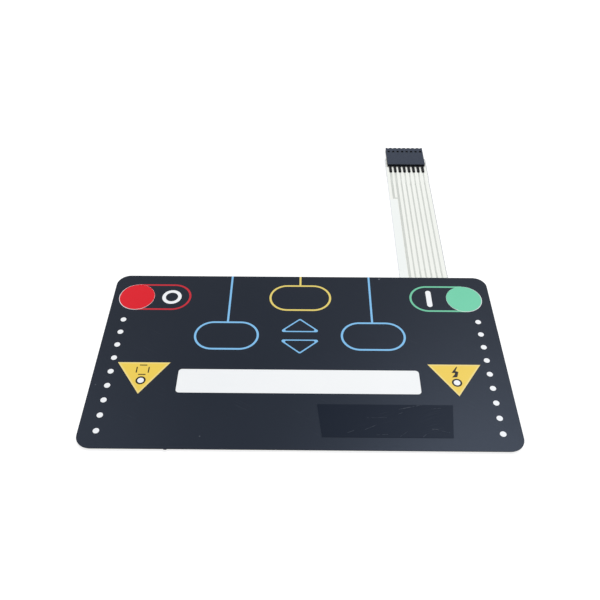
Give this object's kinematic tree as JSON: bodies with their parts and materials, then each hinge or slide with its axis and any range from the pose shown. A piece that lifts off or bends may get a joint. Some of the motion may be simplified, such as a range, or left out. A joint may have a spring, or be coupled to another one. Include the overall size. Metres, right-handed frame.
{
  "type": "membrane keypad",
  "caption": "Flat membrane keypad with printed start, stop and arrow keys, a display window, and a film tail that ends in a crimped socket connector.",
  "frame": {"origin": "middle of the panel's back face, on the release liner", "axes": "+X across the panel, +Y towards the edge that the tail leaves, +Z out of the printed face"},
  "size_m": [0.172, 0.2028, 0.0025],
  "materials": {
    "liner_paper": "smooth siliconised paper",
    "adhesive": "clear acrylic adhesive, slightly yellow",
    "circuit_polyester": "milky heat-stabilised polyester film",
    "silver_print": "dried silver ink under clear lacquer",
    "spacer_polyester": "milky polyester",
    "dome_steel": "stamped spring steel",
    "retainer_polyester": "milky polyester",
    "overlay_polyester": "clear film with a fine matte texture",
    "black_ink": "screen print under fine matte film",
    "red_ink": "screen print",
    "green_ink": "screen print",
    "blue_ink": "screen print",
    "yellow_ink": "screen print",
    "white_ink": "screen print",
    "patch_film": "black film, rubbed and lightly scratched",
    "housing_plastic": "moulded black plastic",
    "contact_metal": "stamped strip with a dark finish"
  },
  "bodies": {
    "root": {"release_liner": "liner_paper", "rear_adhesive": "adhesive", "circuit_film": "circuit_polyester", "silver_tracks": "silver_print", "dome_spacer": "spacer_polyester", "dome_retainer": "retainer_polyester", "overlay_adhesive": "adhesive", "overlay_film": "overlay_polyester", "black_ink": "black_ink", "red_ink": "red_ink", "green_ink": "green_ink", "blue_ink": "blue_ink", "yellow_ink": "yellow_ink", "white_ink": "white_ink", "cover_patch": "patch_film", "connector_housing": "housing_plastic", "stop_dome": "dome_steel", "start_dome": "dome_steel", "upper_dome": "dome_steel", "left_dome": "dome_steel", "right_dome": "dome_steel", "up_dome": "dome_steel", "down_dome": "dome_steel", "contact_1": "contact_metal", "contact_2": "contact_metal", "contact_3": "contact_metal", "contact_4": "contact_metal", "contact_5": "contact_metal", "contact_6": "contact_metal", "contact_7": "contact_metal", "contact_8": "contact_metal"}
  },
  "joints": []
}
